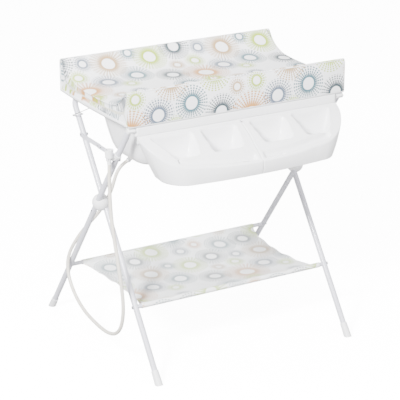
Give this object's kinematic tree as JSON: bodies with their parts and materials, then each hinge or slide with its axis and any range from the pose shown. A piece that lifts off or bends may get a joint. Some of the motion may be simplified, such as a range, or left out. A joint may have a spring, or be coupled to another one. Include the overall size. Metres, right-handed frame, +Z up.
{
  "type": "folding changing table with bath",
  "caption": "Folding baby changing table: crossed tube frame, tip-up padded mat with raised sides, bath tub with storage trays, fabric shelf and drain hose.",
  "frame": {"origin": "on the floor under the middle of the table", "axes": "+X along the table's length to the right as seen from the front, +Y to the back, +Z up"},
  "size_m": [0.826, 0.7704, 0.93],
  "materials": {
    "white_paint": "gloss",
    "white_plastic": "satin",
    "tub_plastic": "gloss",
    "steel": "satin",
    "dark_rivet": "satin",
    "rubber": "matt",
    "board": "matt",
    "print_fabric": "coated",
    "hose_plastic": "satin"
  },
  "bodies": {
    "inner_frame": {"inner_leg_left": "white_paint", "inner_leg_right": "white_paint", "rear_top_bar": "white_paint", "front_shelf_bar": "white_paint", "inner_foot_left": "white_plastic", "inner_foot_right": "white_plastic", "front_shelf_bolts": "steel", "pivot_bolts": "steel", "pivot_spacers": "white_plastic", "pivot_cover_inner_left": "white_plastic", "pivot_cover_inner_right": "white_plastic", "brace_rear_bolts": "dark_rivet", "mat_tie_clip": "white_plastic"},
    "outer_frame": {"outer_leg_left": "white_paint", "outer_leg_right": "white_paint", "rear_shelf_bar": "white_paint", "outer_foot_left": "white_plastic", "outer_foot_right": "white_plastic", "outer_cap_left": "white_plastic", "outer_cap_right": "white_plastic", "rear_shelf_bolts": "steel", "pivot_cover_outer_left": "white_plastic", "pivot_cover_outer_right": "white_plastic", "brace_front_bolts": "dark_rivet", "outer_leg_rivets": "dark_rivet", "hose_clip": "white_plastic", "shelf_cloth": "print_fabric"},
    "link_rear_left": {"brace_rear_left": "white_paint"},
    "link_rear_right": {"brace_rear_right": "white_paint"},
    "link_front_left": {"brace_front_left": "white_paint", "brace_rivets_left": "dark_rivet"},
    "link_front_right": {"brace_front_right": "white_paint", "brace_rivets_right": "dark_rivet"},
    "mat_arms": {"mat_saddle_left": "white_plastic", "mat_saddle_right": "white_plastic", "mat_hinge_pins": "steel"},
    "mat": {"mat_board": "board", "mat_pad": "print_fabric", "mat_leaf_left": "steel", "mat_leaf_right": "steel", "mat_leaf_screws": "steel", "mat_bumpers": "rubber", "mat_tie_wire": "steel"},
    "tub_set": {"tub": "tub_plastic", "tray_left": "tub_plastic", "tray_right": "tub_plastic", "drain_body": "white_plastic", "drain_gasket": "rubber", "hose_clamp": "steel", "drain_hose": "hose_plastic", "hose_fitting": "white_plastic"},
    "stopper": {"drain_stopper": "white_plastic"}
  },
  "joints": [
    {"name": "fold", "type": "hinge", "parent": "inner_frame", "child": "outer_frame", "pos_m": [0, 0, 0.5], "axis": [1, 0, 0], "range_deg": [-66, 0], "deforming": ["shelf_cloth"]},
    {"name": "rear_link_left_turn", "type": "hinge", "parent": "inner_frame", "child": "link_rear_left", "pos_m": [-0.37, 0.13456, 0.68899], "axis": [1, 0, 0], "range_deg": [0, 52]},
    {"name": "rear_link_right_turn", "type": "hinge", "parent": "inner_frame", "child": "link_rear_right", "pos_m": [0.37, 0.13456, 0.68899], "axis": [1, 0, 0], "range_deg": [0, 52]},
    {"name": "front_link_left_turn", "type": "hinge", "parent": "outer_frame", "child": "link_front_left", "pos_m": [-0.373, -0.13848, 0.68614], "axis": [1, 0, 0], "range_deg": [-52, 0]},
    {"name": "front_link_right_turn", "type": "hinge", "parent": "outer_frame", "child": "link_front_right", "pos_m": [0.373, -0.13848, 0.68614], "axis": [1, 0, 0], "range_deg": [-52, 0]},
    {"name": "mat_raise", "type": "hinge", "parent": "inner_frame", "child": "mat_arms", "pos_m": [0, 0.21431, 0.801], "axis": [1, 0, 0], "range_deg": [-50, 0]},
    {"name": "mat_flip", "type": "hinge", "parent": "mat_arms", "child": "mat", "pos_m": [0, 0.22631, 0.815], "axis": [1, 0, 0], "range_deg": [-95, 0], "deforming": ["mat_tie_wire"]},
    {"name": "tub_out", "type": "slide", "parent": "inner_frame", "child": "tub_set", "axis": [0, -1, 0], "range_m": [0, 0.45], "deforming": ["drain_hose"]},
    {"name": "stopper_lift", "type": "slide", "parent": "tub_set", "child": "stopper", "axis": [0, 0, 1], "range_m": [0, 0.03]}
  ],
  "couplings": [
    {"joint": "rear_link_left_turn", "follows": "fold", "ratio": -0.785},
    {"joint": "rear_link_right_turn", "follows": "fold", "ratio": -0.785},
    {"joint": "front_link_left_turn", "follows": "fold", "ratio": 0.785},
    {"joint": "front_link_right_turn", "follows": "fold", "ratio": 0.785},
    {"joint": "mat_raise", "follows": "fold", "ratio": 0.75}
  ]
}
